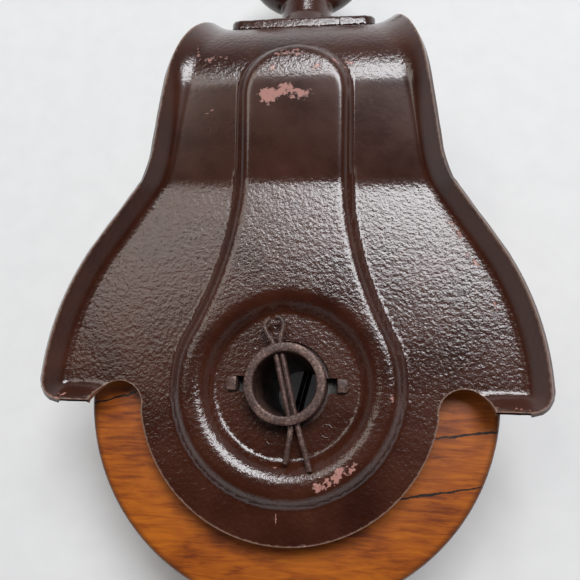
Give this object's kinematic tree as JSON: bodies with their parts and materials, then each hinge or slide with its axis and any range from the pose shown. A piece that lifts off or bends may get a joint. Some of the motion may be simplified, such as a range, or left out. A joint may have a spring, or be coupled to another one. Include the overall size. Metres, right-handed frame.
{
  "type": "single sheave block",
  "caption": "Barn-pattern pulley block: pressed steel shell with flared wings, wooden sheave on a tubular axle and a swivel eye on a riveted foot.",
  "frame": {"origin": "under the middle of the block, level with its lowest point as it lies on its back", "axes": "+Y along the block towards the eye, +Z along the axle towards the front cheek, +X across the block"},
  "size_m": [0.1778, 0.3122, 0.088],
  "materials": {
    "brown_enamel": "brush-painted brown gloss enamel over pink primer, chipped on the edges",
    "rubbed_paint": "thin brown paint rubbed off the steel in speckles",
    "plain_steel": "dull oiled mill steel",
    "varnished_wood": "turned hardwood under amber varnish"
  },
  "bodies": {
    "frame": {"shell": "brown_enamel", "swivel_base": "brown_enamel", "base_rivet_left": "brown_enamel", "base_rivet_right": "brown_enamel", "bearing_plate_front": "brown_enamel", "bearing_plate_rear": "brown_enamel"},
    "axle": {"axle_tube": "rubbed_paint", "cotter_pin_front": "rubbed_paint", "cotter_pin_rear": "rubbed_paint", "thrust_washer_front": "plain_steel", "thrust_washer_rear": "plain_steel"},
    "sheave": {"sheave_wheel": "varnished_wood", "hub_bushing": "plain_steel", "hub_plate_front": "plain_steel", "hub_plate_rear": "plain_steel", "hub_rivet_1": "plain_steel", "hub_rivet_2": "plain_steel", "hub_rivet_3": "plain_steel"},
    "swivel": {"swivel_eye": "brown_enamel", "swivel_washer": "plain_steel", "swivel_nut": "plain_steel"}
  },
  "joints": [
    {"name": "axle_turn", "type": "hinge", "parent": "frame", "child": "axle", "pos_m": [0, -0.0799, 0.044], "axis": [0, 0, 1], "continuous": true},
    {"name": "sheave_spin", "type": "hinge", "parent": "axle", "child": "sheave", "pos_m": [0, -0.0799, 0.044], "axis": [0, 0, 1], "continuous": true},
    {"name": "eye_swivel", "type": "hinge", "parent": "frame", "child": "swivel", "pos_m": [0, 0.0958, 0.044], "axis": [0, 1, 0], "continuous": true}
  ]
}
